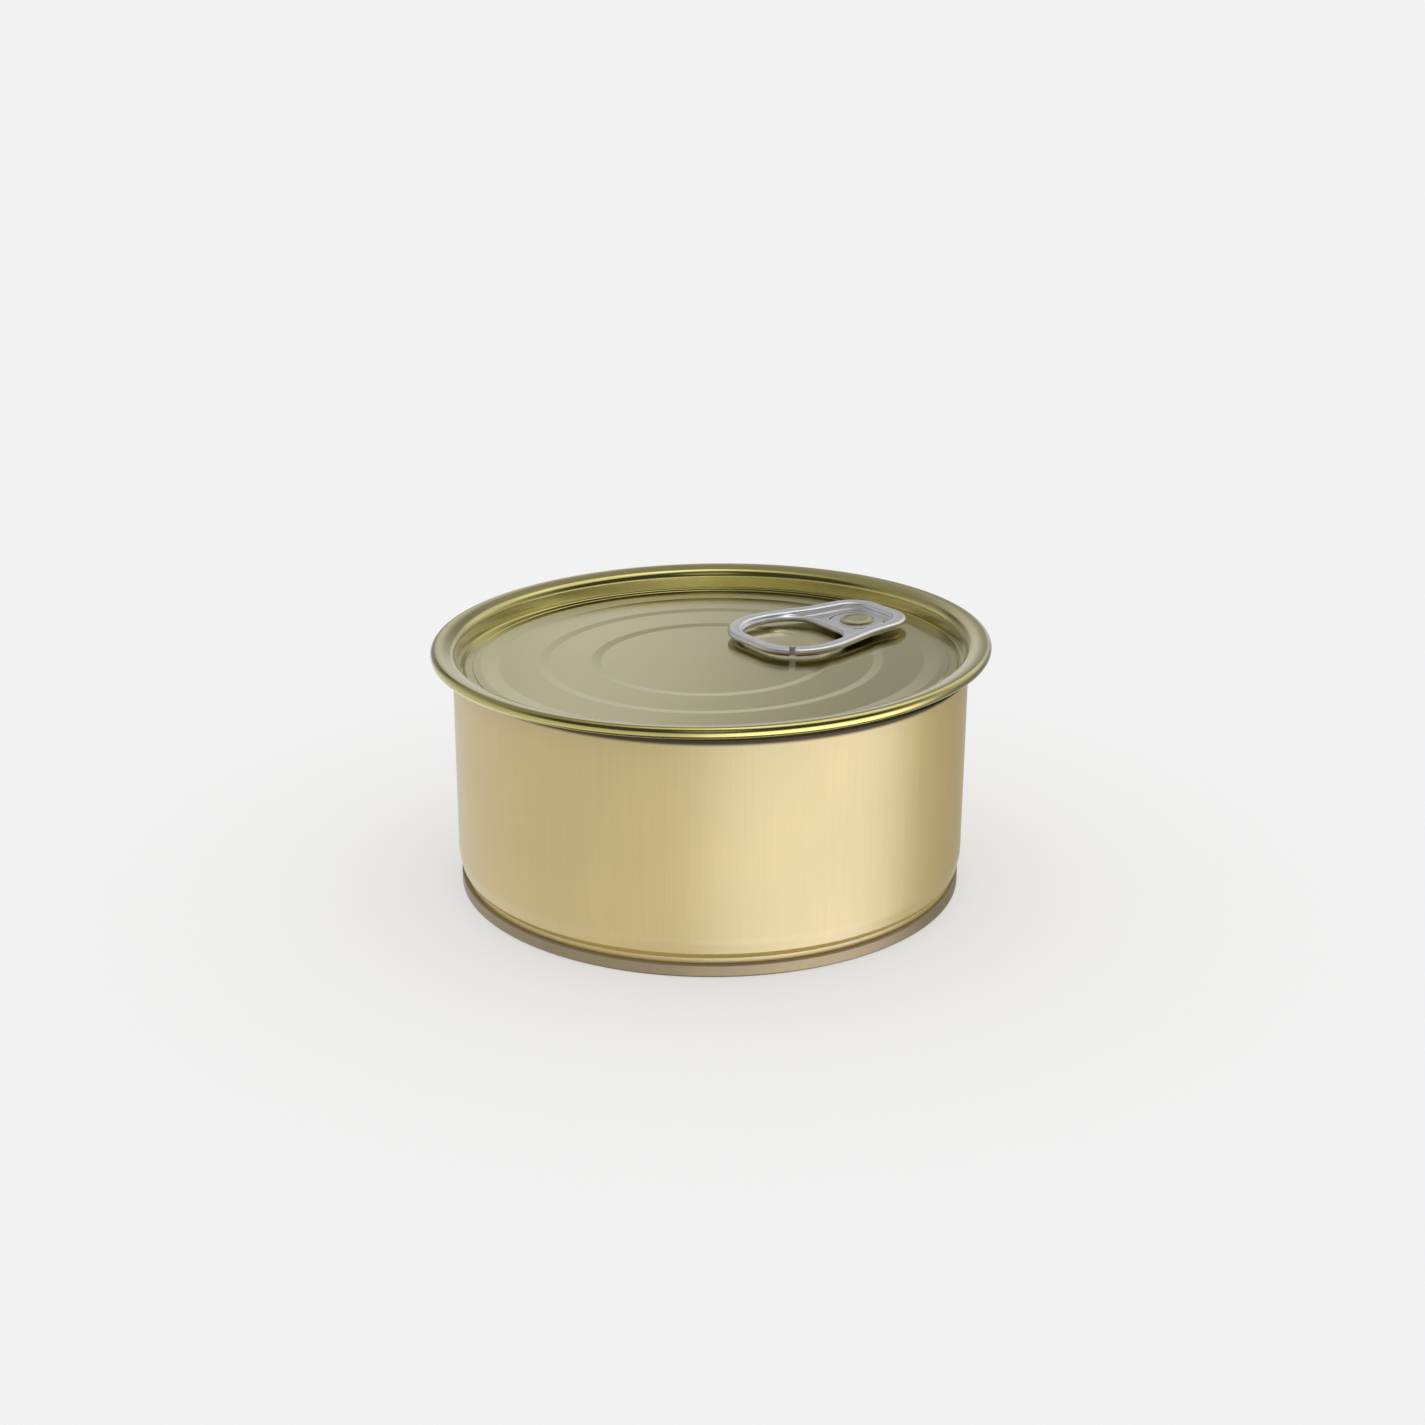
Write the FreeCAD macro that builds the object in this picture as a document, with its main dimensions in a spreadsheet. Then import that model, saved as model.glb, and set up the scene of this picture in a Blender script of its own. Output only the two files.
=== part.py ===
import FreeCAD, Part
import math
import os
import re
import Sketcher

# A low round food can with an easy-open lid laid on its mouth.
# Millimetres and degrees. The origin is the middle of the base, +Z points up,
# and the pull tab's ring lies to the +X, +Y side of the middle.

# name, value, what it is
SIZES = [
    # the can body: a straight wall, a rounded shoulder and a neck that goes into the bottom seam
    ("body_radius", 49.65, "outside radius of the straight wall"),
    ("body_wall", 0.23, "thickness of the wall at the open mouth"),
    ("flange_height", 45.9, "top of the flange round the mouth, and of the body"),
    ("flange_reach", 1.55, "how far the flange stands out from the wall"),
    ("flange_bend", 0.8, "rounding between the wall and the flange"),
    ("fill_depth", 0.9, "from the flange down to the top of the solid inside"),
    ("shoulder_rise", 2.35, "from the shoulder's lower edge up to where its line meets the wall's"),
    ("shoulder_bend", 13.5, "radius of the gentle shoulder curve"),
    ("edge_inset", 0.72, "how far the shoulder's lower edge lies inside the wall"),
    ("edge_rise", 0.3, "from the top of the neck up to the shoulder's lower edge"),
    ("edge_bend", 0.3, "rounding of the shoulder's lower edge"),
    ("neck_inset", 1.35, "how far the neck lies inside the wall"),
    ("neck_rise", 1.7, "height of the neck above the seam"),
    ("neck_bend", 0.2, "rounding where the neck turns into the shoulder"),
    ("neck_wall", 0.25, "thickness of the neck's wall where it goes into the seam"),
    ("foot_reach", 0.65, "how far the neck's foot is turned out inside the seam"),
    # the bottom end: a formed sheet, folded round the neck's foot in a seam
    ("end_sheet", 0.22, "thickness of the bottom end's sheet"),
    ("seam_height", 2.55, "height of the seam"),
    ("seam_bend", 0.55, "rounding of the seam's lower edges"),
    ("seam_top_bend", 0.35, "rounding of the seam's upper edge"),
    ("end_groove_height", 3.5, "height of the groove round the bottom panel"),
    ("end_groove_width", 0.55, "width of that groove"),
    ("end_slope_width", 0.35, "width of the slope from the groove to the bottom panel"),
    ("end_slope_drop", 0.4, "how far the bottom panel's outer ring lies below the groove"),
    # the lid: a formed sheet; its heights are measured from the middle of the curled edge
    ("lid_sheet", 0.22, "thickness of the lid's sheet"),
    ("lid_tilt", 1.0, "how far the loose lid lies out of level, +X side up"),
    ("lid_perch", 1.12, "from the flange up to the middle of the curl, on the lid's low side"),
    ("lid_reach", 4.73, "from the lid's wall out to the edge of the curl"),
    ("curl_corner", 1.59, "height where the sloped flange's line meets the curl's outer line"),
    ("curl_drop", 1.05, "depth of the curl's lower side"),
    ("curl_bend", 1.0, "radius of the curl"),
    ("curl_return", 1.53, "how far the curl turns back in underneath"),
    ("crest_depth", 0.44, "depth where the sloped flange's line meets the wall's line"),
    ("crest_bend", 2.0, "rounding between the sloped flange and the wall"),
    ("lid_wall_lean", 0.5, "how much narrower the lid's wall is at its foot"),
    ("lid_groove_width", 0.9, "width of the groove at the wall's foot"),
    ("lid_groove_depth", 3.43, "depth of that groove"),
    ("lid_slope_width", 0.4, "width of the slope from the groove to the lid's panel"),
    ("lid_slope_rise", 0.37, "how far the lid's panel stands above the groove"),
    ("foot_bend", 0.5, "rounding at the foot of the lid's wall"),
    ("panel_bend", 0.3, "rounding of each panel's edge and groove"),
    ("score_inset", 1.4, "from the panel's edge in to the score line that the lid opens along"),
    ("score_size", 0.12, "radius of the score line's section"),
    ("score_lift", 0.02, "how far the middle of that section lies above the panel"),
    # three shallow steps, down into the can, pressed into both panels
    ("step_one_inset", 3.1, "from a panel's edge in to its first step"),
    ("step_one_width", 3.3, "width of the first step's slope"),
    ("step_one_drop", 0.25, "depth of the first step"),
    ("step_two_inset", 14.1, "from a panel's edge in to its second step"),
    ("step_two_width", 1.9, "width of the second step's slope"),
    ("step_two_drop", 0.2, "depth of the second step"),
    ("step_three_inset", 24.3, "from a panel's edge in to its third step"),
    ("step_three_width", 1.9, "width of the third step's slope"),
    ("step_three_drop", 0.2, "depth of the third step"),
    # the rivet, drawn up out of the lid's own sheet
    ("nose_gap", 2.4, "from the tab's nose out to the panel's edge"),
    ("tab_azimuth", 34.1, "direction of the rivet and the tab from +X"),
    ("tab_pitch", 1.15, "how far the tab's nose is tipped up"),
    ("shank_radius", 1.9, "radius of the rivet's shank"),
    ("head_radius", 3.45, "radius of the rivet's head"),
    ("head_height", 0.34, "thickness of the rivet's head"),
    ("head_bend", 0.2, "rounding of the rivet's head"),
    ("boss_radius", 5.0, "foot radius of the boss that the tab sits on"),
    ("boss_top_radius", 3.0, "top radius of that boss"),
    # the pull tab: its heights are measured from the panel, and its lengths from the rivet
    ("tab_lift", 0.75, "height of the tab's underside above the panel"),
    ("tab_height", 1.74, "height of the tab's rolled edge"),
    ("tab_rim", 2.8, "width of the rolled edge"),
    ("tab_roll", 0.8, "rounding of the rolled edge"),
    ("roll_flat", 0.1, "least flat left between the rolled edge's two roundings"),
    ("tab_web", 0.32, "thickness of the web round the rivet"),
    ("ring_reach", 27.35, "from the rivet back to the ring's end"),
    ("ring_half", 13.2, "half the ring's width"),
    ("ring_bend", 10.2, "rounding of the ring's corners"),
    ("side_reach", 14.2, "from the rivet back to where the sides start to draw in"),
    ("side_bend", 14.0, "rounding of the outline there"),
    ("waist_reach", 4.2, "from the rivet back to the tab's narrow waist"),
    ("waist_half", 9.9, "half the waist's width"),
    ("waist_bend", 12.0, "rounding of the outline at the waist"),
    ("nose_reach", 9.3, "from the rivet out to the nose"),
    ("nose_half", 9.6, "half the nose's width"),
    ("nose_bend", 7.3, "rounding of the nose's corners"),
    ("hole_reach", 6.4, "from the rivet back to the finger hole"),
    ("hole_half", 8.0, "half the hole's width at that end"),
    ("hole_side_bend", 8.0, "rounding of the hole where its sides draw in"),
    ("hole_bend", 6.6, "rounding of the hole's corners at that end"),
    ("web_start", 9.5, "from the rivet back to where the sunk web starts"),
    ("lance_radius", 5.6, "radius of the two cuts beside the rivet"),
    ("lance_width", 0.4, "width of those cuts"),
    ("lance_angle", 88.0, "how far each cut goes round the rivet"),
    ("slot_width", 1.15, "width of the slot in the rolled edge"),
    ("slot_depth", 1.2, "how far the slot goes into the rolled edge"),
    ("slot_height", 1.3, "how far up the rolled edge the slot goes"),
    ("slot_angle", 228.0, "direction of the slot round the ring's corner"),
    # between separate pieces
    ("fit_gap", 0.03, "clearance between pieces that rest on or hold each other"),
]

# Places worked out from those sizes. Radii of the body and the bottom end:
MOUTH_RADIUS = "(body_radius - body_wall)"
NECK_RADIUS = "(body_radius - neck_inset)"
FOOT_INNER = "(body_radius - neck_inset - neck_wall)"
FOOT_OUTER = "(body_radius - neck_inset + foot_reach)"
END_WALL_RADIUS = f"({FOOT_INNER} - fit_gap - end_sheet)"
END_GROOVE_RADIUS = f"({END_WALL_RADIUS} - end_groove_width)"
END_PANEL_RADIUS = f"({END_GROOVE_RADIUS} - end_slope_width)"
SEAM_RADIUS = f"({FOOT_OUTER} + fit_gap + end_sheet)"

# their heights
NECK_HEIGHT = "(seam_height + neck_rise)"
EDGE_HEIGHT = f"({NECK_HEIGHT} + edge_rise)"
SHOULDER_HEIGHT = f"({EDGE_HEIGHT} + shoulder_rise)"
END_PANEL_HEIGHT = "(end_groove_height - end_slope_drop)"

# radii of the lid, whose wall fits in the mouth
CREST_RADIUS = f"({MOUTH_RADIUS} - lid_sheet)"
CURL_RADIUS = f"({CREST_RADIUS} + lid_reach)"
LID_FOOT_RADIUS = f"({CREST_RADIUS} - lid_wall_lean)"
LID_GROOVE_RADIUS = f"({LID_FOOT_RADIUS} - lid_groove_width)"
LID_PANEL_RADIUS = f"({LID_GROOVE_RADIUS} - lid_slope_width)"

# and its heights: the low side's curl is at its perch above the flange
LID_HEIGHT = f"flange_height + lid_perch + {MOUTH_RADIUS} * sin(lid_tilt)"
LID_PANEL_LEVEL = "(lid_slope_rise - lid_groove_depth)"
RIVET_REACH = f"({LID_PANEL_RADIUS} - nose_gap - nose_reach)"

# the fall from a panel's outer ring to the bottom of each of its three steps
FALLS = (
    "step_one_drop",
    "(step_one_drop + step_two_drop)",
    "(step_one_drop + step_two_drop + step_three_drop)",
)

# every size's name has an underscore in it, which nothing else in an expression has
SIZE_NAME = re.compile(r"[a-z]+(?:_[a-z]+)+")

# a corner given as "0" lies on that axis of its sketch
ON_AXIS = "0"


def make_sheet(doc):
    """The driving sizes, one named cell each, with what it is beside it."""
    sheet = doc.addObject("Spreadsheet::Sheet", "Sizes")
    for row, (alias, value, meaning) in enumerate(SIZES, start=1):
        sheet.set(f"A{row}", alias)
        sheet.set(f"B{row}", str(value))
        sheet.set(f"C{row}", meaning)
        sheet.setAlias(f"B{row}", alias)
    doc.recompute()


def sized(text):
    """The expression with each size's name written out as the sheet's cell."""
    return SIZE_NAME.sub(lambda found: "Sizes." + found.group(), text)


def bind(thing, **expressions):
    """Tie properties to the sheet; Placement__Base__z stands for Placement.Base.z."""
    for name, text in expressions.items():
        thing.setExpression(name.replace("__", "."), sized(text))


class Corner:
    """One corner of an outline: its two expressions, its rounding, and where they now lie."""

    def __init__(self, sketch, x, y, bend=None):
        self.texts = (x, y)
        self.bend = bend
        place = [float(sketch.evalExpression(sized(text))) for text in self.texts]
        self.point = FreeCAD.Vector(*place, 0)
        self.radius = float(sketch.evalExpression(sized(bend))) if bend else 0.0
        self.entry = self.point
        self.exit = self.point
        self.middle = self.point

    def round_off(self, before, after):
        """Find where the rounding meets the two sides, and the middle of its arc."""
        back = (before.point - self.point).normalize()
        ahead = (after.point - self.point).normalize()
        half = back.getAngle(ahead) / 2
        inward = (back + ahead).normalize()
        self.entry = self.point + back * (self.radius / math.tan(half))
        self.exit = self.point + ahead * (self.radius / math.tan(half))
        self.middle = self.point + inward * (self.radius / math.sin(half) - self.radius)


def pin(sketch, corner, geometry, end):
    """Hold one point of the sketch at a corner's two expressions."""
    for kind, axis, text, value in (
        ("DistanceX", -2, corner.texts[0], corner.point.x),
        ("DistanceY", -1, corner.texts[1], corner.point.y),
    ):
        if text == ON_AXIS:
            sketch.addConstraint(Sketcher.Constraint("PointOnObject", geometry, end, axis))
            continue
        index = sketch.addConstraint(Sketcher.Constraint(kind, -1, 1, geometry, end, value))
        sketch.setExpression(f"Constraints[{index}]", sized(text))


def round_corner(sketch, corner, before, after):
    """Join two sides by a tangent arc, and hold both sides on the corner itself."""
    back = corner.entry - corner.point
    ahead = corner.exit - corner.point
    turns_left = back.cross(ahead).z < 0
    first, last = (corner.entry, corner.exit) if turns_left else (corner.exit, corner.entry)
    entry_end, exit_end = (1, 2) if turns_left else (2, 1)
    arc = sketch.addGeometry(Part.Arc(first, corner.middle, last), False)
    mark = sketch.addGeometry(Part.Point(corner.point), True)
    sketch.addConstraint(Sketcher.Constraint("Tangent", before, 2, arc, entry_end))
    sketch.addConstraint(Sketcher.Constraint("Tangent", after, 1, arc, exit_end))
    sketch.addConstraint(Sketcher.Constraint("PointOnObject", mark, 1, before))
    sketch.addConstraint(Sketcher.Constraint("PointOnObject", mark, 1, after))
    index = sketch.addConstraint(Sketcher.Constraint("Radius", arc, corner.radius))
    sketch.setExpression(f"Constraints[{index}]", sized(corner.bend))
    pin(sketch, corner, mark, 1)


def draw(sketch, rows, closed=True):
    """Draw an outline through rows of (x, y) or (x, y, rounding), each an expression."""
    corners = [Corner(sketch, *row) for row in rows]
    count = len(corners)
    for i, corner in enumerate(corners):
        if corner.bend:
            corner.round_off(corners[i - 1], corners[(i + 1) % count])
    sides = count if closed else count - 1
    lines = []
    for i in range(sides):
        side = Part.LineSegment(corners[i].exit, corners[(i + 1) % count].entry)
        lines.append(sketch.addGeometry(side, False))
    for i, corner in enumerate(corners):
        before = lines[i - 1] if closed or i > 0 else None
        after = lines[i] if i < sides else None
        if corner.bend:
            round_corner(sketch, corner, before, after)
        elif after is None:
            pin(sketch, corner, before, 2)
        else:
            pin(sketch, corner, after, 1)
            if before is not None:
                sketch.addConstraint(Sketcher.Constraint("Coincident", before, 2, after, 1))


def mirrored(rows):
    """The rows of an outline's +Y side, and then of its -Y side the other way round."""
    return rows + [(x, f"-({y})", *rest) for x, y, *rest in reversed(rows)]


def rectangle(left, right, bottom, top):
    """The four corners of a rectangle."""
    return [(left, bottom), (right, bottom), (right, top), (left, top)]


def sketch_in(body, name, role="XY_Plane"):
    """An empty sketch on one of a body's own origin planes."""
    plane = next(f for f in body.Origin.OriginFeatures if f.Role == role)
    sketch = body.newObject("Sketcher::SketchObject", name)
    sketch.AttachmentSupport = [(plane, "")]
    sketch.MapMode = "FlatFace"
    body.Document.recompute()
    return sketch


def turned_body(doc, name, rows):
    """A body turned about Z from one closed outline of (radius, height) corners."""
    body = doc.addObject("PartDesign::Body", name)
    outline = sketch_in(body, name + "Outline", "XZ_Plane")
    draw(outline, rows)
    turn = body.newObject("PartDesign::Revolution", name + "Turn")
    turn.Profile = outline
    turn.ReferenceAxis = (outline, ["V_Axis"])
    turn.Angle = 360
    doc.recompute()
    return body


def turned_sheet(doc, name, rows, thickness):
    """A sheet of even thickness turned about Z, from the line of one of its two sides."""
    line = doc.addObject("Sketcher::SketchObject", name + "Line")
    line.Placement.Rotation = FreeCAD.Rotation(FreeCAD.Vector(1, 0, 0), 90)
    draw(line, rows, closed=False)
    doc.recompute()
    section = doc.addObject("Part::Offset2D", name + "Section")
    section.Source = line
    section.Mode = "Skin"
    section.Join = "Intersection"
    section.Fill = True
    bind(section, Value=thickness)
    turn = doc.addObject("Part::Revolution", name + "Turn")
    turn.Source = section
    turn.Axis = (0, 0, 1)
    turn.Angle = 360
    turn.Solid = True
    doc.recompute()
    return turn


def panel_line(edge, level, way):
    """A stepped panel's line from its middle out: the steps go way (+ or -) from level."""
    one, two, three = (f"{level} {way} {fall}" for fall in FALLS)
    return [
        (ON_AXIS, three),
        (f"{edge} - step_three_inset - step_three_width", three),
        (f"{edge} - step_three_inset", two),
        (f"{edge} - step_two_inset - step_two_width", two),
        (f"{edge} - step_two_inset", one),
        (f"{edge} - step_one_inset - step_one_width", one),
        (f"{edge} - step_one_inset", level),
    ]


def lay_lid(thing):
    """Lay a piece of the lid on the mouth: at its height, and a little out of level."""
    thing.Placement.Rotation = FreeCAD.Rotation(FreeCAD.Vector(0, 1, 0), -1)
    bind(thing, Placement__Base__z=LID_HEIGHT, Placement__Rotation__Angle="-lid_tilt")


def set_at_rivet(thing):
    """Stand a piece on the lid at the rivet, turned to the tab's direction and tipped."""
    spot = (
        f"create(<<vector>>; {RIVET_REACH} * cos(tab_azimuth);"
        f" {RIVET_REACH} * sin(tab_azimuth); {LID_PANEL_LEVEL} - step_one_drop)"
    )
    turn = "create(<<rotation>>; tab_azimuth; -tab_pitch; 0)"
    bind(thing, Placement=f"LidSheetTurn.Placement * create(<<placement>>; {spot}; {turn})")


def make_lid_room(doc):
    """The space in the mouth that the lid's panel, groove and wall lie in."""
    under_panel = f"{LID_PANEL_LEVEL} - lid_sheet - fit_gap"
    under_groove = "-lid_groove_depth - lid_sheet - fit_gap"
    room = turned_body(doc, "LidRoom", panel_line(LID_PANEL_RADIUS, under_panel, "-") + [
        (f"{LID_PANEL_RADIUS} - lid_sheet - fit_gap", under_panel),
        (f"{LID_GROOVE_RADIUS} - lid_sheet - fit_gap", under_groove),
        (f"{CREST_RADIUS} + fit_gap", under_groove),
        (f"{CREST_RADIUS} + fit_gap", ON_AXIS),
        (ON_AXIS, ON_AXIS),
    ])
    lay_lid(room)
    return room


def make_can_body(doc):
    """The wall, shoulder and neck, solid inside, with a foot held in the bottom seam."""
    over_panel = f"{END_PANEL_HEIGHT} + end_sheet + fit_gap"
    over_groove = "end_groove_height + end_sheet + fit_gap"
    foot_bottom = "end_sheet + fit_gap"
    foot_top = "seam_height - end_sheet - fit_gap"
    foot_corner = "seam_bend - end_sheet - fit_gap"
    under_flange = "flange_height - body_wall"
    fill_height = "flange_height - fill_depth"
    blank = turned_body(doc, "BodyBlank", panel_line(END_PANEL_RADIUS, over_panel, "+") + [
        (f"{END_PANEL_RADIUS} - end_sheet - fit_gap", over_panel),
        (f"{END_GROOVE_RADIUS} - end_sheet - fit_gap", over_groove),
        (FOOT_INNER, over_groove),
        (FOOT_INNER, foot_bottom, foot_corner),
        (FOOT_OUTER, foot_bottom, foot_corner),
        (FOOT_OUTER, foot_top, "seam_top_bend - end_sheet - fit_gap"),
        (NECK_RADIUS, foot_top),
        (NECK_RADIUS, NECK_HEIGHT, "neck_bend"),
        ("body_radius - edge_inset", EDGE_HEIGHT, "edge_bend"),
        ("body_radius", SHOULDER_HEIGHT, "shoulder_bend"),
        ("body_radius", under_flange, "flange_bend - body_wall"),
        ("body_radius + flange_reach", under_flange),
        ("body_radius + flange_reach", "flange_height"),
        (MOUTH_RADIUS, "flange_height", "flange_bend"),
        (MOUTH_RADIUS, fill_height),
        (ON_AXIS, fill_height),
    ])
    body = doc.addObject("Part::Cut", "CanBody")
    body.Base = blank
    body.Tool = make_lid_room(doc)
    body.Label = "can_body"
    return body


def make_bottom_end(doc):
    """The bottom end: a stepped panel, a groove, a recess and a seam, one formed sheet."""
    end = turned_sheet(doc, "BottomEnd", panel_line(END_PANEL_RADIUS, END_PANEL_HEIGHT, "+") + [
        (END_PANEL_RADIUS, END_PANEL_HEIGHT, "panel_bend"),
        (END_GROOVE_RADIUS, "end_groove_height", "panel_bend"),
        (END_WALL_RADIUS, "end_groove_height", "panel_bend"),
        (END_WALL_RADIUS, ON_AXIS, "seam_bend"),
        (SEAM_RADIUS, ON_AXIS, "seam_bend"),
        (SEAM_RADIUS, "seam_height", "seam_top_bend"),
        (f"{NECK_RADIUS} + fit_gap", "seam_height"),
    ], "end_sheet")
    end.Label = "bottom_end"
    return end


def make_lid_sheet(doc):
    """The lid's sheet: a stepped panel, a groove, a wall, a sloped flange and a curl."""
    sheet = turned_sheet(doc, "LidSheet", panel_line(LID_PANEL_RADIUS, LID_PANEL_LEVEL, "-") + [
        (LID_PANEL_RADIUS, LID_PANEL_LEVEL, "panel_bend"),
        (LID_GROOVE_RADIUS, "-lid_groove_depth", "panel_bend"),
        (LID_FOOT_RADIUS, "-lid_groove_depth", "foot_bend"),
        (CREST_RADIUS, "-crest_depth", "crest_bend"),
        (CURL_RADIUS, "curl_corner", "curl_bend"),
        (CURL_RADIUS, "-curl_drop", "curl_bend"),
        (f"{CURL_RADIUS} - curl_return", "-curl_drop"),
    ], "-lid_sheet")
    lay_lid(sheet)
    doc.recompute()
    return sheet


def make_score(doc):
    """The ring that presses the score line into the lid's panel."""
    score = doc.addObject("Part::Torus", "Score")
    bind(score, Radius1=f"{LID_PANEL_RADIUS} - score_inset", Radius2="score_size")
    spot = f"create(<<vector>>; 0; 0; {LID_PANEL_LEVEL} + score_lift)"
    turn = "create(<<rotation>>; 0; 0; 0)"
    bind(score, Placement=f"LidSheetTurn.Placement * create(<<placement>>; {spot}; {turn})")
    return score


def make_rivet(doc):
    """The rivet and the boss it stands on, drawn up out of the lid's sheet."""
    middle_of_sheet = "-lid_sheet / 2"
    boss_top = "tab_lift - fit_gap"
    head_bottom = "tab_lift + tab_web + fit_gap"
    head_top = "tab_lift + tab_web + fit_gap + head_height"
    rivet = turned_body(doc, "Rivet", [
        (ON_AXIS, middle_of_sheet),
        ("boss_radius", middle_of_sheet),
        ("boss_top_radius", boss_top),
        ("shank_radius", boss_top),
        ("shank_radius", head_bottom),
        ("head_radius", head_bottom),
        ("head_radius", head_top, "head_bend"),
        (ON_AXIS, head_top),
    ])
    set_at_rivet(rivet)
    return rivet


def make_lid(doc):
    """The lid: its scored sheet with the rivet, one piece."""
    scored = doc.addObject("Part::Cut", "ScoredSheet")
    scored.Base = make_lid_sheet(doc)
    scored.Tool = make_score(doc)
    lid = doc.addObject("Part::MultiFuse", "Lid")
    lid.Shapes = [scored, make_rivet(doc)]
    lid.Label = "lid"
    return lid


def cut_upward(body, sketch, name, height=None):
    """Cut a sketch upward out of a body: right through, or to a height above the sketch."""
    cut = body.newObject("PartDesign::Pocket", name)
    cut.Profile = sketch
    cut.Reversed = True
    if height:
        cut.Type = "Length"
        bind(cut, Length=height)
    else:
        cut.Type = "ThroughAll"
    body.Document.recompute()


def pad_tab(body):
    """The tab's flat outline with its finger hole, raised, and its edges rolled round."""
    outline = sketch_in(body, "TabOutline")
    bind(outline, AttachmentOffset__Base__z="tab_lift")
    draw(outline, mirrored([
        ("nose_reach", "nose_half", "nose_bend"),
        ("-waist_reach", "waist_half", "waist_bend"),
        ("-side_reach", "ring_half", "side_bend"),
        ("-ring_reach", "ring_half", "ring_bend"),
    ]))
    draw(outline, mirrored([
        ("-hole_reach", "hole_half", "hole_bend"),
        ("-side_reach", "ring_half - tab_rim", "hole_side_bend"),
        ("tab_rim - ring_reach", "ring_half - tab_rim", "ring_bend - tab_rim"),
    ]))
    pad = body.newObject("PartDesign::Pad", "TabPad")
    pad.Profile = outline
    bind(pad, Length="tab_height")
    body.Document.recompute()
    level_edges = [
        f"Edge{i}" for i, edge in enumerate(pad.Shape.Edges, start=1) if edge.BoundBox.ZLength < 1e-6
    ]
    roll = body.newObject("PartDesign::Fillet", "TabRoll")
    roll.Base = (pad, level_edges)
    bind(roll, Radius="min(tab_roll; (tab_height - roll_flat) / 2)")
    body.Document.recompute()


def cut_web(body):
    """Sink the web round the rivet, and cut the rivet's hole in it."""
    web = sketch_in(body, "WebOutline")
    bind(web, AttachmentOffset__Base__z="tab_lift + tab_web")
    draw(web, mirrored([
        ("nose_reach - tab_rim", "nose_half - tab_rim", "nose_bend - tab_rim"),
        ("-web_start", "waist_half - tab_rim"),
    ]))
    cut_upward(body, web, "WebPocket")
    hole = sketch_in(body, "RivetHoleOutline")
    centre = FreeCAD.Vector(0, 0, 0)
    hole.addGeometry(Part.Circle(centre, FreeCAD.Vector(0, 0, 1), 1), False)
    hole.addConstraint(Sketcher.Constraint("Coincident", 0, 3, -1, 1))
    index = hole.addConstraint(Sketcher.Constraint("Radius", 0, 1))
    hole.setExpression(f"Constraints[{index}]", sized("shank_radius + fit_gap"))
    cut_upward(body, hole, "RivetHole")


def cut_lances(body):
    """Two curved cuts through the web, one each side of the rivet."""
    section = sketch_in(body, "LanceSection", "YZ_Plane")
    inner = "lance_radius - lance_width / 2"
    outer = "lance_radius + lance_width / 2"
    top = "tab_lift + tab_height"
    draw(section, rectangle(inner, outer, ON_AXIS, top))
    draw(section, rectangle(f"-({outer})", f"-({inner})", ON_AXIS, top))
    lances = body.newObject("PartDesign::Groove", "Lances")
    lances.Profile = section
    lances.ReferenceAxis = (section, ["V_Axis"])
    lances.Midplane = True
    bind(lances, Angle="lance_angle")
    body.Document.recompute()


def cut_slot(body):
    """The slot where the rolled edge's own seam ends, on one corner of the ring."""
    slot = sketch_in(body, "SlotOutline")
    slot.AttachmentOffset = FreeCAD.Placement(
        FreeCAD.Vector(), FreeCAD.Rotation(FreeCAD.Vector(0, 0, 1), 1)
    )
    bind(
        slot,
        AttachmentOffset__Base__x="ring_bend - ring_reach",
        AttachmentOffset__Base__y="ring_bend - ring_half",
        AttachmentOffset__Rotation__Angle="slot_angle",
    )
    draw(slot, mirrored([
        ("ring_bend - slot_depth", "slot_width / 2"),
        ("ring_bend + slot_depth", "slot_width / 2"),
    ]))
    cut_upward(body, slot, "SeamSlot", "tab_lift + slot_height")


def make_pull_tab(doc):
    """The pull tab: a ring and nose with a rolled edge, and a sunk web round the rivet."""
    tab = doc.addObject("PartDesign::Body", "PullTab")
    pad_tab(tab)
    cut_web(tab)
    cut_lances(tab)
    cut_slot(tab)
    set_at_rivet(tab)
    tab.Label = "pull_tab"
    return tab


def check(doc, pieces):
    """Stop if any object failed, or if a piece isn't one sound solid."""
    for thing in doc.Objects:
        if "Invalid" in thing.State or "Error" in thing.State:
            raise RuntimeError(f"{thing.Name} failed: {thing.State}")
    for piece in pieces:
        shape = piece.Shape
        if shape.isNull() or not shape.isValid() or len(shape.Solids) != 1:
            raise RuntimeError(f"{piece.Label} isn't one valid solid")


def main():
    doc = FreeCAD.newDocument("FoodCan")
    make_sheet(doc)
    pieces = [make_can_body(doc), make_bottom_end(doc), make_lid(doc), make_pull_tab(doc)]
    doc.recompute()
    check(doc, pieces)
    os.makedirs("parts", exist_ok=True)
    for piece in pieces:
        piece.Shape.exportStep(f"parts/{piece.Label}.step")


main()
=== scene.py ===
"""A low food can in gold lacquer with a loose easy-open lid, on a plain pale studio floor."""
import bpy
import math
import numpy as np
from mathutils import Matrix, Vector


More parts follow.
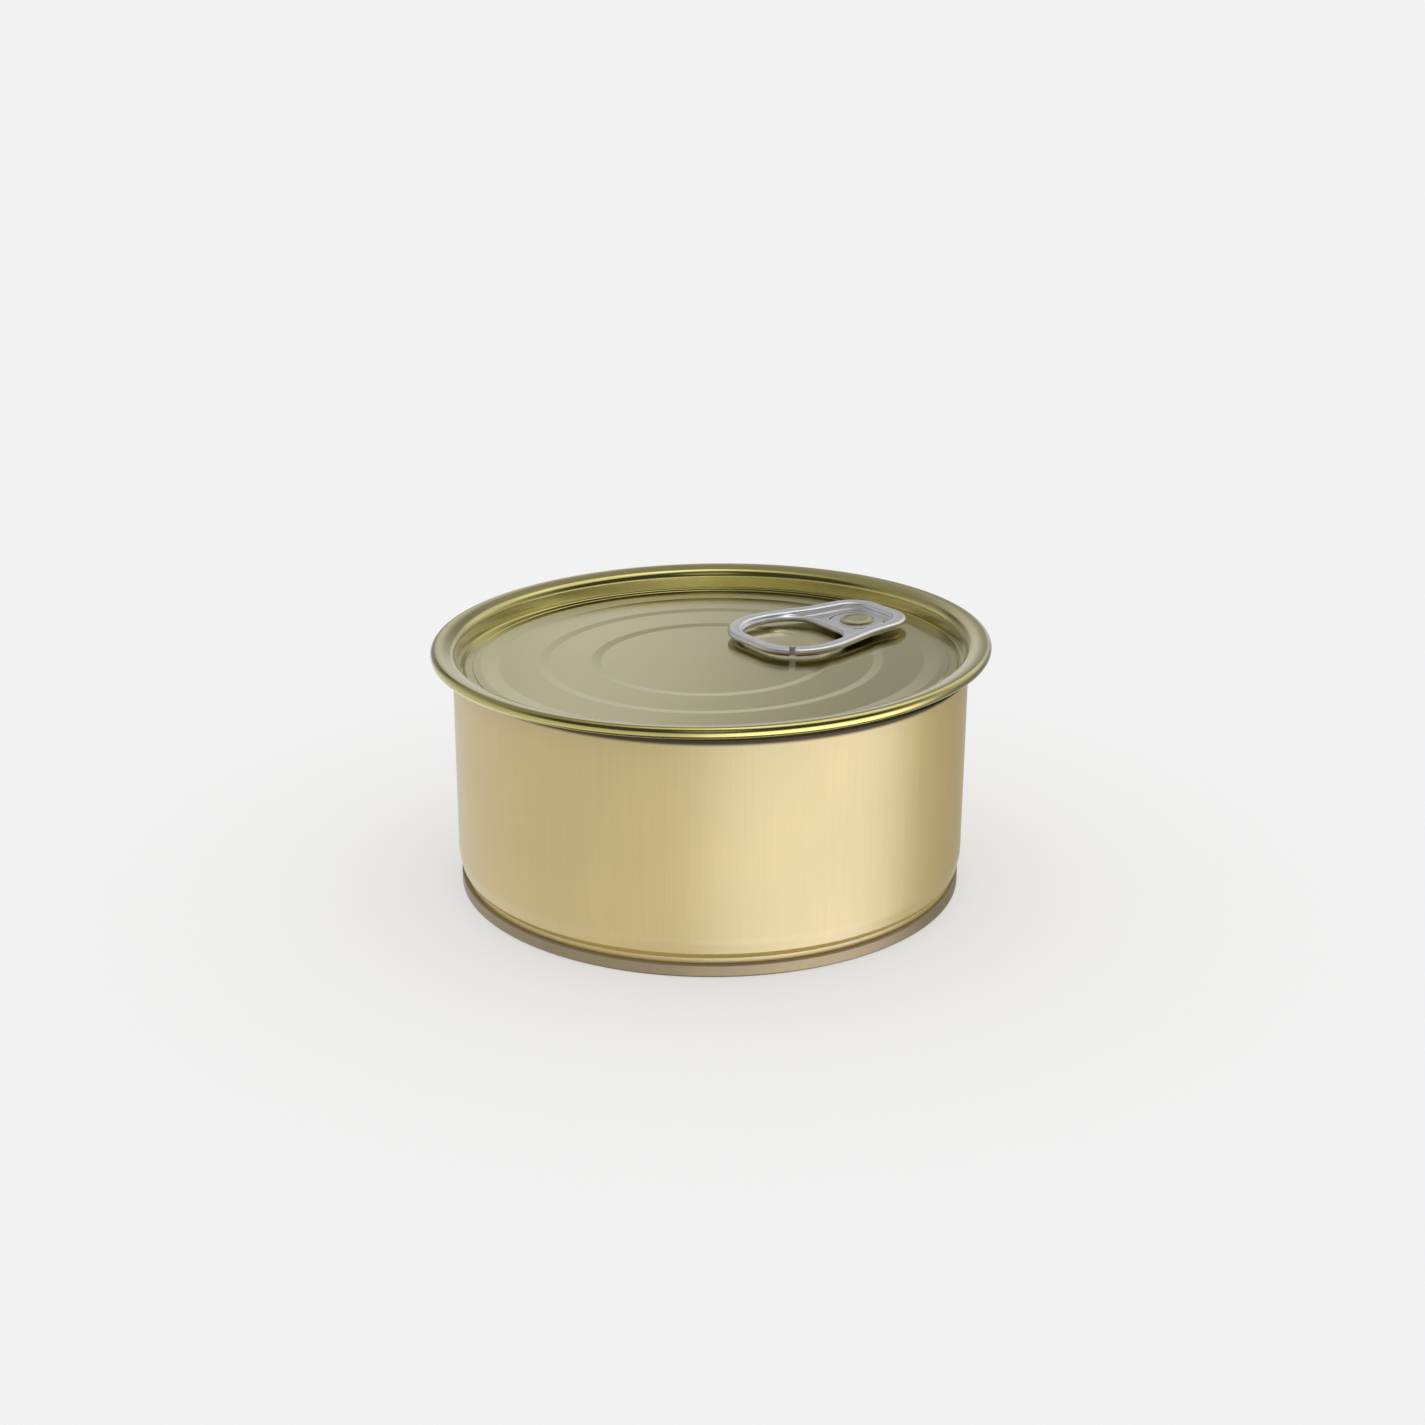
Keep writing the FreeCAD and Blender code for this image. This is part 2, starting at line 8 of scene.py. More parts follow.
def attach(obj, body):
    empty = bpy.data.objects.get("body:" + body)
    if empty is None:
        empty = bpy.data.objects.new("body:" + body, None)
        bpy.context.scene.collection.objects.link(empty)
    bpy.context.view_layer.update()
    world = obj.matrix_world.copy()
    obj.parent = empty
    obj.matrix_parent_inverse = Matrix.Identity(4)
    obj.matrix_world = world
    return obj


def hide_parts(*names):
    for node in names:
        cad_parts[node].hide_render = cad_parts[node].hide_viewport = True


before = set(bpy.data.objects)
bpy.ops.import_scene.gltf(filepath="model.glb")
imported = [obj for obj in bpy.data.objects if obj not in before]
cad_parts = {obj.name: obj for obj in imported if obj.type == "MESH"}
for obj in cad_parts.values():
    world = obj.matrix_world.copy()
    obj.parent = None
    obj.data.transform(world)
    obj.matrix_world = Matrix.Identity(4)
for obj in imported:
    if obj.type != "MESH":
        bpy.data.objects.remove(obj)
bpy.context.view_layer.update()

MM = 0.001
AROUND = 360                           # segments round a turned sheet
RIVET_AROUND = 96
ARC_STEP = math.radians(7)             # the largest step along a rounded corner
TAB_ARC_STEP = math.radians(4)
CAP_STEPS = 6                          # steps round a sheet's raw edge

# ---- sizes of the can's body, in millimetres ----

GAP = 0.03                             # left between two sheets that touch
BODY_RADIUS = 49.65
BODY_WALL = 0.23
MOUTH_RADIUS = BODY_RADIUS - BODY_WALL
MOUTH_BEND = 0.7
FLANGE_HEIGHT = 45.9
FLANGE_REACH = 1.55
FLANGE_BEND = 1.2
INNER_TOP = FLANGE_HEIGHT - 3.6        # top of the closed inside, hidden under the lid
NECK_RADIUS = BODY_RADIUS - 1.35
FOOT_INNER = NECK_RADIUS - 0.25
FOOT_OUTER = NECK_RADIUS + 0.65
FOOT_BEND = 0.3
SEAM_HEIGHT = 2.55
SEAM_BEND = 0.35
NECK_HEIGHT = SEAM_HEIGHT + 1.7
SHOULDER_TOP = NECK_HEIGHT + 2.9       # where the wall begins to turn in
SHOULDER_BEND = 9.0
SHOULDER_RADIUS = BODY_RADIUS - 0.5    # where it turns in for good, to the neck
SHOULDER_HEIGHT = NECK_HEIGHT + 0.4
SHOULDER_CORNER = 0.5
NECK_TOP = NECK_HEIGHT - 0.75
NECK_BEND = 0.2
EDGE_BEND = 0.1
HIDDEN_BEND = 0.05                     # a corner that other metal covers

# ---- sizes of the bottom end ----

END_SHEET = 0.22
END_WALL_RADIUS = FOOT_INNER - GAP - END_SHEET
END_WALL_BEND = 0.24
END_GROOVE_RADIUS = END_WALL_RADIUS - 0.55
END_GROOVE_HEIGHT = 3.5
END_PANEL_RADIUS = END_GROOVE_RADIUS - 0.35
END_PANEL_HEIGHT = 3.1
SEAM_RADIUS = FOOT_OUTER + GAP + END_SHEET
STANDING_BEND = 0.55                   # the seam's lower bends, which the can stands on
PANEL_BEND = 0.3                       # at the edge of either panel

# three shallow steps in both panels: how far in from the panel's edge, slope width, drop
STEPS = ((3.1, 3.3, 0.25), (14.1, 1.9, 0.14), (24.3, 1.9, 0.14))
STEP_BEND = 1.5                        # a step's bends, as a share of its slope's width

# ---- sizes of the lid, in its own tilted frame ----

LID_SHEET = 0.22
LID_TILT = math.radians(1.0)
CREST_RADIUS = MOUTH_RADIUS - LID_SHEET
CREST_LEVEL = 0.2
CREST_BEND = 1.8
CROWN_RADIUS = CREST_RADIUS + 2.6      # the rim's flat top
CROWN_LEVEL = 1.0
CROWN_BEND = 6.8
CURL_RADIUS = CREST_RADIUS + 4.73
CURL_TOP_RADIUS = CURL_RADIUS + 0.1
CURL_TOP = 1.06
CURL_TOP_BEND = 1.1
CURL_FOOT_RADIUS = CURL_RADIUS - 0.15
CURL_FOOT = -1.05
CURL_FOOT_BEND = 0.95
CURL_END_RADIUS = CURL_RADIUS - 1.53   # the curl's raw edge, under the rim
LID_FOOT_RADIUS = CREST_RADIUS - 0.5
LID_FOOT_BEND = 0.4
LID_GROOVE_RADIUS = LID_FOOT_RADIUS - 0.9
LID_GROOVE_LEVEL = -3.43
LID_PANEL_RADIUS = LID_GROOVE_RADIUS - 0.4
LID_PANEL_LEVEL = LID_GROOVE_LEVEL + 0.37
LID_HEIGHT = FLANGE_HEIGHT + 1.12 + MOUTH_RADIUS * math.sin(LID_TILT)
SCORE_RADIUS = LID_PANEL_RADIUS - 1.4
SCORE_TOP = 0.15                       # half the score line's width at its top
SCORE_FLOOR = 0.03                     # and at its floor
SCORE_DEPTH = 0.09
SCORE_BEND = 0.03

# ---- sizes of the tab and its rivet, from the rivet's spot on the panel; +X is to the nose ----

TAB_AZIMUTH = math.radians(34.1)
TAB_PITCH = math.radians(1.15)
NOSE_REACH = 9.3
RIVET_REACH = LID_PANEL_RADIUS - 2.4 - NOSE_REACH
NOSE_END = NOSE_REACH - 1.3            # the modelled nose stops short of the solid's
NOSE_SIDE = 9.7
NOSE_BEND = 7.0
WAIST_PLACE = -4.2
WAIST_SIDE = 10.9
RING_PLACE = -14.2                     # where the ring has its full width
RING_SIDE = 13.6                       # half the ring's width
RING_BEND = 14.0
TAIL_REACH = 27.35                     # from the rivet to the ring's end
TAIL_BEND = 10.4
HOLE_PLACE = -8.0                      # the finger hole's end at the web
HOLE_SIDE = 8.0
HOLE_BEND = 6.4
HOLE_RING_BEND = 8.0
TAB_LIFT = 0.75
TAB_HEIGHT = 1.74
TAB_RIM = 2.8                          # width of the rolled rim
RIM_SIDE = 13.2                        # the finger hole's edges lie a rim inside these
RIM_CORNER = 10.2
RIM_CLEARANCE = 0.34                   # the rim's underside is this far over the web's
RIM_DIP = 0.02                         # and a trace less towards the nose
RIM_DIP_SPAN = (-12, -5)
RIM_POWER = 1.4                        # the rim's section: 1 is an ellipse, more is squarer
TAB_WEB = 0.32
WEB_INSET = 0.35                       # the web stops this far from the finger hole
LIP_HALF_WIDTH = 0.75                  # the rolled edge at the finger hole
LIP_HALF_HEIGHT = 0.5
RIM_BLEND = 0.7                        # how widely rim, web and lip flow into each other
LIP_BLEND = 0.5
FOLD_BLEND = 0.1
CUT_BLEND = 0.05
LANCE_RADIUS = 5.6                     # two curved cuts beside the rivet
LANCE_HALF_WIDTH = 0.2
LANCE_HALF_ANGLE = math.radians(44)
SLOT_TURN = math.radians(228)          # a small slot across the ring's near corner
SLOT_HALF_WIDTH = 0.575
SLOT_START = 8.2
SLOT_TOP = 1.66
SLOT_BLEND = 0.08
TAB_SPAN_X = (-28.0, 10.0)             # the box in which the tab's field is sampled
TAB_SPAN_Y = (-13.9, 13.9)
TAB_MARGIN = 0.3                       # above and below the tab
LEAST_STEEPNESS = 0.25                 # of the field, so that no vertex is thrown far

RIVET_NECK = 1.9
RIVET_HEAD = 3.45
RIVET_HEAD_HEIGHT = 0.34
RIVET_HEAD_BEND = 0.15
RIVET_DISH = (2.2, 2.9)                # radii at the foot and the top of the head's dish
RIVET_DISH_DEPTH = 0.06
RIVET_DISH_BEND = 0.5
RIVET_SHOULDER = 3.0
RIVET_SHOULDER_BEND = 0.3
RIVET_FOOT = 5.0
RIVET_FOOT_BEND = 0.02

LID_PLACE = Matrix.Translation((0, 0, LID_HEIGHT)) @ Matrix.Rotation(-LID_TILT, 4, "Y")
RIVET_SPOT = Vector((
    RIVET_REACH * math.cos(TAB_AZIMUTH),
    RIVET_REACH * math.sin(TAB_AZIMUTH),
    LID_PANEL_LEVEL - STEPS[0][2],
))
TAB_PLACE = (
    LID_PLACE
    @ Matrix.Translation(RIVET_SPOT)
    @ Matrix.Rotation(TAB_AZIMUTH, 4, "Z")
    @ Matrix.Rotation(-TAB_PITCH, 4, "Y")
)


# ---- turned pieces: outlines of (radius, height) with rounded corners ----

def bent_line(rows):
    """(point, left-hand normal) along a line of (radius, height, bend) corners, all rounded."""
    points = [Vector(row[:2]) for row in rows]
    samples = []
    for i, corner in enumerate(points):
        if i in (0, len(points) - 1):
            ahead = (points[1] - corner) if i == 0 else (corner - points[-2])
            ahead.normalize()
            samples.append((corner, Vector((-ahead.y, ahead.x))))
            continue
        along = (corner - points[i - 1]).normalized()
        onward = (points[i + 1] - corner).normalized()
        turn = math.atan2(along.x * onward.y - along.y * onward.x, along.dot(onward))
        bend = rows[i][2]
        entry = corner - along * bend * math.tan(abs(turn) / 2)
        side = math.copysign(1.0, turn)
        normal = Vector((-along.y, along.x))
        centre = entry + normal * bend * side
        pieces = max(2, math.ceil(abs(turn) / ARC_STEP))
        for k in range(pieces + 1):
            here = Matrix.Rotation(turn * k / pieces, 2) @ normal
            samples.append((centre - here * bend * side, here))
    return samples


def round_cap(point, normal, outward, thickness):
    """The half-round raw edge of a sheet, from the side that the normal is on to the other."""
    middle = point - normal * thickness / 2
    samples = []
    for k in range(1, CAP_STEPS):
        angle = math.pi * k / CAP_STEPS
        here = normal * math.cos(angle) + outward * math.sin(angle)
        samples.append((middle + here * thickness / 2, here))
    return samples


def sheet_outline(rows, thickness, edge_first=False):
    """A sheet's whole section, from the line of its shown side: a left-hand normal shows."""
    shown = bent_line(rows)
    hidden = [(p - n * thickness, -n) for p, n in reversed(shown)]
    if edge_first:
        point, normal = hidden[-1]
        outward = (shown[0][0] - shown[1][0]).normalized()
        return hidden + round_cap(point, normal, outward, thickness) + shown
    point, normal = shown[-1]
    outward = (shown[-1][0] - shown[-2][0]).normalized()
    return shown + round_cap(point, normal, outward, thickness) + hidden


def turned(name, outline, place=Matrix.Identity(4), around=AROUND):
    """A closed mesh turned about Z, with exact normals; the outline runs from axis to axis."""
    vertices, normals, rings = [], [], []
    turn = place.to_3x3()
    for point, normal in outline:
        if point.x < 1e-6:
            rings.append([len(vertices)])
            vertices.append(place @ Vector((0, 0, point.y)))
            normals.append(turn @ Vector((0, 0, math.copysign(1, normal.y))))
            continue
        rings.append(range(len(vertices), len(vertices) + around))
        for k in range(around):
            angle = math.tau * k / around
            c, s = math.cos(angle), math.sin(angle)
            vertices.append(place @ Vector((point.x * c, point.x * s, point.y)))
            normals.append(turn @ Vector((normal.x * c, normal.x * s, normal.y)))
    faces = []
    for inner, outer in zip(rings, rings[1:]):
        for k in range(around):
            n = (k + 1) % around
            if len(inner) == 1:
                faces.append((inner[0], outer[k], outer[n]))
            elif len(outer) == 1:
                faces.append((inner[k], outer[0], inner[n]))
            else:
                faces.append((inner[k], outer[k], outer[n], inner[n]))
    return make_mesh(name, vertices, faces, normals)


def make_mesh(name, vertices, faces, normals):
    """A smooth mesh object in metres, with the given normals on its vertices."""
    mesh = bpy.data.meshes.new(name)
    mesh.from_pydata([Vector(v) * MM for v in vertices], [], faces)
    mesh.shade_smooth()
    mesh.normals_split_custom_set_from_vertices([Vector(n).normalized() for n in normals])
    mesh.update()
    piece = bpy.data.objects.new(name, mesh)
    bpy.context.scene.collection.objects.link(piece)
    return piece


def panel_rows(edge, level, way):
    """A stepped panel's rows from its middle out; the steps go way (1 up, -1 down)."""
    rows = []
    fall = sum(step[2] for step in STEPS)
    rows.append((0, level + way * fall, 0))
    for inset, width, drop in reversed(STEPS):
        rows.append((edge - inset - width, level + way * fall, STEP_BEND * width))
        fall -= drop
        rows.append((edge - inset, level + way * fall, STEP_BEND * width))
    return rows


def make_can_body():
    """The wall from its flange to its foot in the seam, closed over the hidden inside."""
    over_end = END_SHEET + GAP
    panel_height = END_PANEL_HEIGHT + over_end
    panel = panel_rows(END_PANEL_RADIUS, panel_height, 1)
    over_groove = END_GROOVE_HEIGHT + over_end
    foot_top = SEAM_HEIGHT - over_end
    flange_radius = BODY_RADIUS + FLANGE_REACH
    outline = bent_line([
        (0, INNER_TOP, 0),
        (MOUTH_RADIUS, INNER_TOP, EDGE_BEND),
        (MOUTH_RADIUS, FLANGE_HEIGHT, MOUTH_BEND),
        (flange_radius, FLANGE_HEIGHT, EDGE_BEND),
        (flange_radius, FLANGE_HEIGHT - BODY_WALL, EDGE_BEND),
        (BODY_RADIUS, FLANGE_HEIGHT - BODY_WALL, FLANGE_BEND),
        (BODY_RADIUS, SHOULDER_TOP, SHOULDER_BEND),
        (SHOULDER_RADIUS, SHOULDER_HEIGHT, SHOULDER_CORNER),
        (NECK_RADIUS, NECK_TOP, NECK_BEND),
        (NECK_RADIUS, foot_top, HIDDEN_BEND),
        (FOOT_OUTER, foot_top, EDGE_BEND),
        (FOOT_OUTER, over_end, FOOT_BEND),
        (FOOT_INNER, over_end, FOOT_BEND),
        (FOOT_INNER, over_groove, HIDDEN_BEND),
        (END_GROOVE_RADIUS - over_end, over_groove, HIDDEN_BEND),
        (END_PANEL_RADIUS - over_end, panel_height, HIDDEN_BEND),
        *reversed(panel),
    ])
    return turned("can_wall", outline)


def make_bottom_end():
    """The formed end below the can: its stepped panel, groove and standing seam."""
    rows = [
        *panel_rows(END_PANEL_RADIUS, END_PANEL_HEIGHT, 1),
        (END_PANEL_RADIUS, END_PANEL_HEIGHT, PANEL_BEND),
        (END_GROOVE_RADIUS, END_GROOVE_HEIGHT, PANEL_BEND),
        (END_WALL_RADIUS, END_GROOVE_HEIGHT, END_WALL_BEND),
        (END_WALL_RADIUS, 0, STANDING_BEND),
        (SEAM_RADIUS, 0, STANDING_BEND),
        (SEAM_RADIUS, SEAM_HEIGHT, SEAM_BEND),
        (NECK_RADIUS + GAP, SEAM_HEIGHT, 0),
    ]
    return turned("bottom_end_sheet", sheet_outline(rows[::-1], END_SHEET, edge_first=True))


def make_lid():
    """The lid's formed sheet: stepped panel, score line, groove, wall, rim and curl."""
    score_floor = LID_PANEL_LEVEL - SCORE_DEPTH
    rows = [
        *panel_rows(LID_PANEL_RADIUS, LID_PANEL_LEVEL, -1),
        (SCORE_RADIUS - SCORE_TOP, LID_PANEL_LEVEL, SCORE_BEND),
        (SCORE_RADIUS - SCORE_FLOOR, score_floor, SCORE_BEND),
        (SCORE_RADIUS + SCORE_FLOOR, score_floor, SCORE_BEND),
        (SCORE_RADIUS + SCORE_TOP, LID_PANEL_LEVEL, SCORE_BEND),
        (LID_PANEL_RADIUS, LID_PANEL_LEVEL, PANEL_BEND),
        (LID_GROOVE_RADIUS, LID_GROOVE_LEVEL, PANEL_BEND),
        (LID_FOOT_RADIUS, LID_GROOVE_LEVEL, LID_FOOT_BEND),
        (CREST_RADIUS, CREST_LEVEL, CREST_BEND),
        (CROWN_RADIUS, CROWN_LEVEL, CROWN_BEND),
        (CURL_TOP_RADIUS, CURL_TOP, CURL_TOP_BEND),
        (CURL_FOOT_RADIUS, CURL_FOOT, CURL_FOOT_BEND),
        (CURL_END_RADIUS, CURL_FOOT, 0),
    ]
    return turned("lid_sheet", sheet_outline(rows, LID_SHEET), LID_PLACE)


def make_rivet():
    """The rivet that holds the tab: a dished head, a neck and a wide foot in the panel."""
    head_bottom = TAB_LIFT + TAB_WEB + GAP
    head_top = head_bottom + RIVET_HEAD_HEIGHT
    dish_floor = head_top - RIVET_DISH_DEPTH
    outline = bent_line([
        (0, dish_floor, 0),
        (RIVET_DISH[0], dish_floor, RIVET_DISH_BEND),
        (RIVET_DISH[1], head_top, RIVET_DISH_BEND),
        (RIVET_HEAD, head_top, RIVET_HEAD_BEND),
        (RIVET_HEAD, head_bottom, HIDDEN_BEND),
        (RIVET_NECK, head_bottom, HIDDEN_BEND),
        (RIVET_NECK, TAB_LIFT - GAP, HIDDEN_BEND),
        (RIVET_SHOULDER, TAB_LIFT - GAP, RIVET_SHOULDER_BEND),
        (RIVET_FOOT, -LID_SHEET / 2, RIVET_FOOT_BEND),
        (0, -LID_SHEET / 2, 0),
    ])
    return turned("lid_rivet", outline, TAB_PLACE, around=RIVET_AROUND)


# ---- the pull tab: a formed sheet, from a field that is negative inside its metal ----

def rounded_loop(rows):
    """Points round a closed outline given by one half's (x, y, bend) corners, mirrored in y."""
    rows = rows + [(x, -y, bend) for x, y, bend in reversed(rows)]
    points = [Vector(row[:2]) for row in rows]
    loop = []
    for i, corner in enumerate(points):
        along = (corner - points[i - 1]).normalized()
        onward = (points[(i + 1) % len(points)] - corner).normalized()
        turn = math.atan2(along.x * onward.y - along.y * onward.x, along.dot(onward))
        bend = rows[i][2]
        entry = corner - along * bend * math.tan(abs(turn) / 2)
        centre = entry + Vector((-along.y, along.x)) * math.copysign(bend, turn)
        pieces = max(2, math.ceil(abs(turn) / TAB_ARC_STEP))
        for k in range(pieces + 1):
            loop.append(centre + Matrix.Rotation(turn * k / pieces, 2) @ (entry - centre))
    return np.array([tuple(p) for p in loop])


def loop_distance(x, y, loop):
    """Signed distance from a closed loop, negative inside it."""
    best = np.full(x.shape, np.inf)
    inside = np.zeros(x.shape, bool)
    for (ax, ay), (bx, by) in zip(loop, np.roll(loop, -1, axis=0)):
        length = (bx - ax) ** 2 + (by - ay) ** 2
        t = np.clip(((x - ax) * (bx - ax) + (y - ay) * (by - ay)) / max(length, 1e-12), 0, 1)
        best = np.minimum(best, (x - ax - t * (bx - ax)) ** 2 + (y - ay - t * (by - ay)) ** 2)
        if ay != by:
            inside ^= ((ay > y) != (by > y)) & (x < (bx - ax) * (y - ay) / (by - ay) + ax)
    return np.where(inside, -1, 1) * np.sqrt(best)


def smooth_min(a, b, k):
    """The lesser of two fields, blended over a distance k."""
    h = np.clip(0.5 + 0.5 * (b - a) / k, 0, 1)
    return b * (1 - h) + a * h - k * h * (1 - h)


def smooth_max(a, b, k):
    """The greater of two fields, blended over a distance k."""
    return -smooth_min(-a, -b, k)


def ease(low, high, value):
    """0 below low, 1 above high, and a smooth rise between."""
    t = np.clip((value - low) / (high - low), 0, 1)
    return t * t * (3 - 2 * t)


TAB_OUTLINE = rounded_loop([
    (NOSE_END, NOSE_SIDE, NOSE_BEND),
    (WAIST_PLACE, WAIST_SIDE, RING_BEND),
    (RING_PLACE, RING_SIDE, RING_BEND),
    (-TAIL_REACH, RING_SIDE, TAIL_BEND),
])
TAB_HOLE = rounded_loop([
    (HOLE_PLACE, HOLE_SIDE, HOLE_BEND),
    (RING_PLACE, RIM_SIDE - TAB_RIM, HOLE_RING_BEND),
    (TAB_RIM - TAIL_REACH, RIM_SIDE - TAB_RIM, RIM_CORNER - TAB_RIM),
])


def sheet_field(x, z, inward, hole_distance):
    """The tab's uncut metal: a rolled rim, a sunk web and a rolled edge at the finger hole."""
    top = TAB_LIFT + TAB_HEIGHT
    bottom = TAB_LIFT + RIM_CLEARANCE - RIM_DIP * ease(*RIM_DIP_SPAN, x)
    middle, half = (top + bottom) / 2, (top - bottom) / 2
    across = (inward - TAB_RIM / 2) / (TAB_RIM / 2)
    up = (z - middle) / half
    rim = ((across ** 2) ** RIM_POWER + (up ** 2) ** RIM_POWER) ** (1 / (2 * RIM_POWER))
    rim = (rim - 1) * half

    web = np.maximum(z - (TAB_LIFT + TAB_WEB), TAB_LIFT - z)
    web = smooth_max(web, TAB_RIM / 2 - inward, FOLD_BLEND)
    web = smooth_max(web, WEB_INSET - hole_distance, FOLD_BLEND)

    lip_across = (hole_distance - LIP_HALF_WIDTH) / LIP_HALF_WIDTH
    lip_up = (z - TAB_LIFT - LIP_HALF_HEIGHT) / LIP_HALF_HEIGHT
    lip = (np.sqrt(lip_across ** 2 + lip_up ** 2) - 1) * LIP_HALF_HEIGHT
    lip = smooth_max(lip, TAB_RIM / 2 - inward, FOLD_BLEND)
    return smooth_min(smooth_min(rim, web, RIM_BLEND), lip, LIP_BLEND)


def tab_field(x, y, z, outline_distance, hole_distance):
    """The tab's metal with its rivet hole, its two lance cuts and its slot taken out."""
    solid = sheet_field(x, z, -outline_distance, hole_distance)

    radius = np.sqrt(x ** 2 + y ** 2)
    solid = smooth_max(solid, RIVET_NECK + GAP - radius, CUT_BLEND)
    angle = np.abs(np.arctan2(np.abs(y), x) - math.pi / 2)
    lance = np.maximum(
        np.abs(radius - LANCE_RADIUS) - LANCE_HALF_WIDTH,
        (angle - LANCE_HALF_ANGLE) * LANCE_RADIUS,
    )
    solid = smooth_max(solid, -lance, CUT_BLEND)

    from_corner_x = x - (RIM_CORNER - TAIL_REACH)
    from_corner_y = y - (RIM_CORNER - RIM_SIDE)
    out = from_corner_x * math.cos(SLOT_TURN) + from_corner_y * math.sin(SLOT_TURN)
    aside = -from_corner_x * math.sin(SLOT_TURN) + from_corner_y * math.cos(SLOT_TURN)
    slot = np.maximum(np.abs(aside) - SLOT_HALF_WIDTH, SLOT_START - out)
    slot = np.maximum(slot, z - TAB_LIFT - SLOT_TOP)
    return smooth_max(solid, -slot, SLOT_BLEND)


def tab_value(points):
    """The tab's field at a list of points."""
    x, y, z = points.T
    return tab_field(x, y, z, loop_distance(x, y, TAB_OUTLINE), loop_distance(x, y, TAB_HOLE))


def tab_slope(points, step=0.02):
    """The field's gradient at a list of points."""
    parts = []
    for n in range(3):
        shift = np.zeros(3)
        shift[n] = step
        parts.append(tab_value(points + shift) - tab_value(points - shift))
    return np.stack(parts, axis=1) / (2 * step)


def crossed_cells(values, inside):
    """A number for each grid cell that the surface crosses, and its vertex in cells."""
    shape = np.array(values.shape) - 1
    total = np.zeros((*shape, 3))
    count = np.zeros(shape)

    def at(grid, corner):
        return grid[tuple(slice(c, c + n) for c, n in zip(corner, shape))]

    for a in [(i, j, k) for i in (0, 1) for j in (0, 1) for k in (0, 1)]:
        for axis in range(3):
            if a[axis]:
                continue
            b = tuple(c + (n == axis) for n, c in enumerate(a))
            va, vb = at(values, a), at(values, b)
            cut = at(inside, a) != at(inside, b)
            share = np.where(cut, va / np.where(cut, va - vb, 1), 0)
            for n in range(3):
                total[..., n] += np.where(cut, a[n] + (share if n == axis else 0), 0)
            count += cut
    crossed = count > 0
    index = np.full(shape, -1)
    index[crossed] = np.arange(crossed.sum())
    return index, np.argwhere(crossed) + total[crossed] / count[crossed][:, None]


def crossed_faces(inside, index):
    """A quad round each grid edge that the surface crosses, wound to face out."""
    faces = []
    for axis in range(3):
        b, c = (axis + 1) % 3, (axis + 2) % 3
        ahead = tuple(slice(1, None) if n == axis else slice(None) for n in range(3))
        here = tuple(slice(None, -1) if n == axis else slice(None) for n in range(3))
        spots = np.argwhere(inside[here] != inside[ahead])
        spots = spots[(spots[:, b] > 0) & (spots[:, c] > 0)]
        leaves = inside[here][tuple(spots.T)]
        quad = []
        for db, dc in ((1, 1), (0, 1), (0, 0), (1, 0)):
            near = spots.copy()
            near[:, b] -= db
            near[:, c] -= dc
            quad.append(index[tuple(near.T)])
        quad = np.stack(quad, axis=1)
        quad[~leaves] = quad[~leaves][:, ::-1]
        faces.append(quad)
    return np.concatenate(faces)


def make_pull_tab():
    """The field's zero surface as quads, with each vertex moved on to it by one Newton step."""
    pitch = 0.13
    xs = np.arange(*TAB_SPAN_X, pitch)
    ys = np.arange(*TAB_SPAN_Y, pitch)
    zs = np.arange(TAB_LIFT - TAB_MARGIN, TAB_LIFT + TAB_HEIGHT + TAB_MARGIN, pitch)
    px, py = np.meshgrid(xs, ys, indexing="ij")
    values = tab_field(
        px[:, :, None], py[:, :, None], zs[None, None, :],
        loop_distance(px, py, TAB_OUTLINE)[:, :, None],
        loop_distance(px, py, TAB_HOLE)[:, :, None],
    )
    inside = values < 0
    index, cells = crossed_cells(values, inside)
    faces = crossed_faces(inside, index)
    place = cells * pitch + (xs[0], ys[0], zs[0])

    grad = tab_slope(place)
    steepness = np.maximum((grad ** 2).sum(axis=1), LEAST_STEEPNESS)
    move = -grad * (tab_value(place) / steepness)[:, None]
    length = np.maximum(np.linalg.norm(move, axis=1), 1e-9)
    place += move * np.minimum(1, 0.5 * pitch / length)[:, None]

    turn = TAB_PLACE.to_3x3()
    vertices = [TAB_PLACE @ Vector(p) for p in place]
    normals = [turn @ Vector(n) for n in tab_slope(place)]
    return make_mesh("pull_tab_metal", vertices, faces.tolist(), normals)


# ---- materials ----

CLOUD_SCALE = 38.0               # the base's two tones drift in patches of this noise scale
WAVE_SCALE = 22.0                # the sheet's soft waves
STREAK = 0.03                    # how far the grain lightens or darkens the base
# painted shade at the top of the can's wall, under the lid's flange: its near-black colour, the
# band over which it deepens, and its greatest strength
PAINTED_SHADE_COLOUR = (0.02, 0.014, 0.004, 1)
PAINTED_SHADE_RISE = 0.7                 # the band over which the painted shade under a flange deepens
PAINTED_SHADE_DEPTH = 0.95


